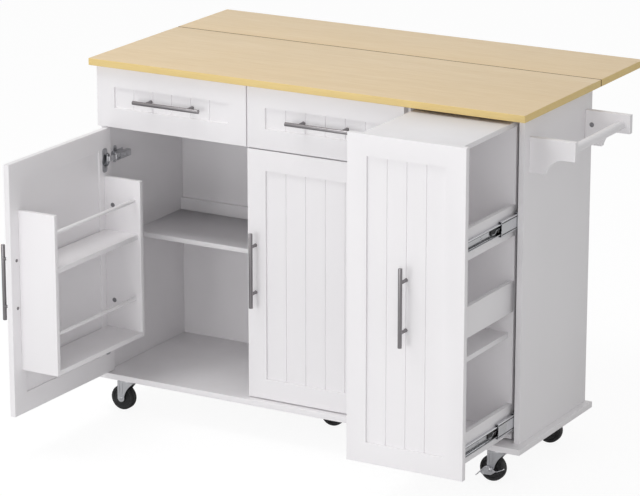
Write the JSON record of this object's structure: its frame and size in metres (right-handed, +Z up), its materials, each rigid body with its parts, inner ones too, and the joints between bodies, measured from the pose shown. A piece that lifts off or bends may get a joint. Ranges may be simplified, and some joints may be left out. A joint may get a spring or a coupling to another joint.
{
  "type": "drop leaf kitchen island",
  "caption": "Rolling kitchen island with a drop leaf worktop, cupboard doors, drawers, a spice rack on a door, a tall pull-out, a towel rail and swivel casters.",
  "frame": {"origin": "on the floor, under the middle of the whole part's footprint as stored (left door and pull-out open, leaf up)", "axes": "+X along the worktop to the towel rail, -Y to the front with the doors, +Z up"},
  "size_m": [1.3086, 1.067, 0.92],
  "materials": {
    "white_board": "white satin lacquer on fibreboard",
    "inside_board": "plain white foil on fibreboard",
    "top_board": "pale fine straight wood grain, satin",
    "satin_steel": "satin nickel",
    "zinc": "bright zinc plate",
    "dark_steel": "dark zinc",
    "black_wheel": "black, moulded"
  },
  "bodies": {
    "cabinet": {"countertop": "top_board", "side_left": "white_board", "side_right": "white_board", "divider": "white_board", "drawer_deck": "white_board", "back_panel": "white_board", "base_board": "white_board", "shelf": "white_board", "fasteners": "dark_steel", "hinge_arms": "zinc", "slide_outers": "zinc", "pull_slide_outers": "zinc", "leaf_hinge_fixed": "zinc", "towel_brackets": "white_board", "towel_rail": "white_board", "caster_plates": "zinc"},
    "left_links": {"left_hinge_links": "zinc"},
    "left_door": {"left_door_frame": "white_board", "left_door_panel": "white_board", "left_hinge_cups": "zinc", "left_handle": "satin_steel", "rack_sides": "white_board", "rack_shelves": "white_board", "rack_dowels": "white_board", "rack_cams": "dark_steel"},
    "middle_links": {"middle_hinge_links": "zinc"},
    "middle_door": {"middle_door_frame": "white_board", "middle_door_panel": "white_board", "middle_hinge_cups": "zinc", "middle_handle": "satin_steel"},
    "drawer_1": {"drawer_1_front": "white_board", "drawer_1_box": "inside_board", "drawer_1_handle": "satin_steel", "drawer_1_slides": "zinc"},
    "drawer_1_mids": {"drawer_1_mid": "zinc"},
    "drawer_2": {"drawer_2_front": "white_board", "drawer_2_box": "inside_board", "drawer_2_handle": "satin_steel", "drawer_2_slides": "zinc"},
    "drawer_2_mids": {"drawer_2_mid": "zinc"},
    "pull_out": {"pull_front": "white_board", "pull_panel": "white_board", "pull_case": "white_board", "pull_guards": "white_board", "pull_handle": "satin_steel", "pull_slides": "zinc"},
    "pull_mids": {"pull_mid": "zinc"},
    "leaf": {"drop_leaf": "top_board", "leaf_hinge_moving": "zinc"},
    "swivel_1": {"fork_1": "zinc"},
    "wheel_1": {"wheel_1": "black_wheel"},
    "swivel_2": {"fork_2": "zinc"},
    "wheel_2": {"wheel_2": "black_wheel"},
    "swivel_3": {"fork_3": "zinc"},
    "wheel_3": {"wheel_3": "black_wheel"},
    "swivel_4": {"fork_4": "zinc"},
    "wheel_4": {"wheel_4": "black_wheel"},
    "swivel_5": {"fork_5": "zinc"},
    "wheel_5": {"wheel_5": "black_wheel"},
    "rocker": {"brake_rocker": "zinc"}
  },
  "joints": [
    {"name": "left_door_link", "type": "hinge", "parent": "cabinet", "child": "left_links", "pos_m": [-0.59774, -0.08797, 0.427], "axis": [0, 0, 1], "range_deg": [-44, 4.3]},
    {"name": "left_door", "type": "hinge", "parent": "left_links", "child": "left_door", "pos_m": [-0.60635, -0.11504, 0.427], "axis": [0, 0, 1], "range_deg": [-13, 135]},
    {"name": "middle_door_link", "type": "hinge", "parent": "cabinet", "child": "middle_links", "pos_m": [0.19226, -0.08797, 0.427], "axis": [0, 0, 1], "range_deg": [-44, 0]},
    {"name": "middle_door", "type": "hinge", "parent": "middle_links", "child": "middle_door", "pos_m": [0.21726, -0.10147, 0.427], "axis": [0, 0, 1], "range_deg": [0, 135]},
    {"name": "drawer_1", "type": "slide", "parent": "cabinet", "child": "drawer_1", "axis": [0, -1, 0], "range_m": [0, 0.25]},
    {"name": "drawer_1_middles", "type": "slide", "parent": "cabinet", "child": "drawer_1_mids", "axis": [0, -1, 0], "range_m": [0, 0.125]},
    {"name": "drawer_2", "type": "slide", "parent": "cabinet", "child": "drawer_2", "axis": [0, -1, 0], "range_m": [0, 0.25]},
    {"name": "drawer_2_middles", "type": "slide", "parent": "cabinet", "child": "drawer_2_mids", "axis": [0, -1, 0], "range_m": [0, 0.125]},
    {"name": "pull_out", "type": "slide", "parent": "cabinet", "child": "pull_out", "axis": [0, -1, 0], "range_m": [-0.28, 0]},
    {"name": "pull_out_middles", "type": "slide", "parent": "cabinet", "child": "pull_mids", "axis": [0, -1, 0], "range_m": [-0.14, 0]},
    {"name": "drop_leaf", "type": "hinge", "parent": "cabinet", "child": "leaf", "pos_m": [-0.04874, 0.28728, 0.8975], "axis": [-1, 0, 0], "range_deg": [0, 90]},
    {"name": "swivel_1", "type": "hinge", "parent": "cabinet", "child": "swivel_1", "pos_m": [-0.57524, -0.08147, 0.08], "axis": [0, 0, 1], "continuous": true},
    {"name": "wheel_1", "type": "hinge", "parent": "swivel_1", "child": "wheel_1", "pos_m": [-0.59124, -0.08147, 0.0325], "axis": [0, 1, 0], "continuous": true},
    {"name": "swivel_2", "type": "hinge", "parent": "cabinet", "child": "swivel_2", "pos_m": [0.47776, -0.08147, 0.08], "axis": [0, 0, 1], "continuous": true},
    {"name": "wheel_2", "type": "hinge", "parent": "swivel_2", "child": "wheel_2", "pos_m": [0.46176, -0.08147, 0.0325], "axis": [0, 1, 0], "continuous": true},
    {"name": "swivel_3", "type": "hinge", "parent": "cabinet", "child": "swivel_3", "pos_m": [-0.57524, 0.22903, 0.08], "axis": [0, 0, 1], "continuous": true},
    {"name": "wheel_3", "type": "hinge", "parent": "swivel_3", "child": "wheel_3", "pos_m": [-0.59124, 0.22903, 0.0325], "axis": [0, 1, 0], "continuous": true},
    {"name": "swivel_4", "type": "hinge", "parent": "cabinet", "child": "swivel_4", "pos_m": [0.47776, 0.22903, 0.08], "axis": [0, 0, 1], "continuous": true},
    {"name": "wheel_4", "type": "hinge", "parent": "swivel_4", "child": "wheel_4", "pos_m": [0.46176, 0.22903, 0.0325], "axis": [0, 1, 0], "continuous": true},
    {"name": "swivel_5", "type": "hinge", "parent": "cabinet", "child": "swivel_5", "pos_m": [-0.04874, 0.07378, 0.08], "axis": [0, 0, 1], "continuous": true},
    {"name": "wheel_5", "type": "hinge", "parent": "swivel_5", "child": "wheel_5", "pos_m": [-0.06474, 0.07378, 0.0325], "axis": [0, 1, 0], "continuous": true},
    {"name": "brake_rocker", "type": "hinge", "parent": "swivel_2", "child": "rocker", "pos_m": [0.46176, -0.09847, 0.0325], "axis": [0, 1, 0], "range_deg": [-15, 15]}
  ],
  "couplings": [
    {"joint": "left_door_link", "follows": "left_door", "ratio": -0.32593},
    {"joint": "middle_door_link", "follows": "middle_door", "ratio": -0.32593},
    {"joint": "drawer_1_middles", "follows": "drawer_1", "ratio": 0.5},
    {"joint": "drawer_2_middles", "follows": "drawer_2", "ratio": 0.5},
    {"joint": "pull_out_middles", "follows": "pull_out", "ratio": 0.5}
  ]
}
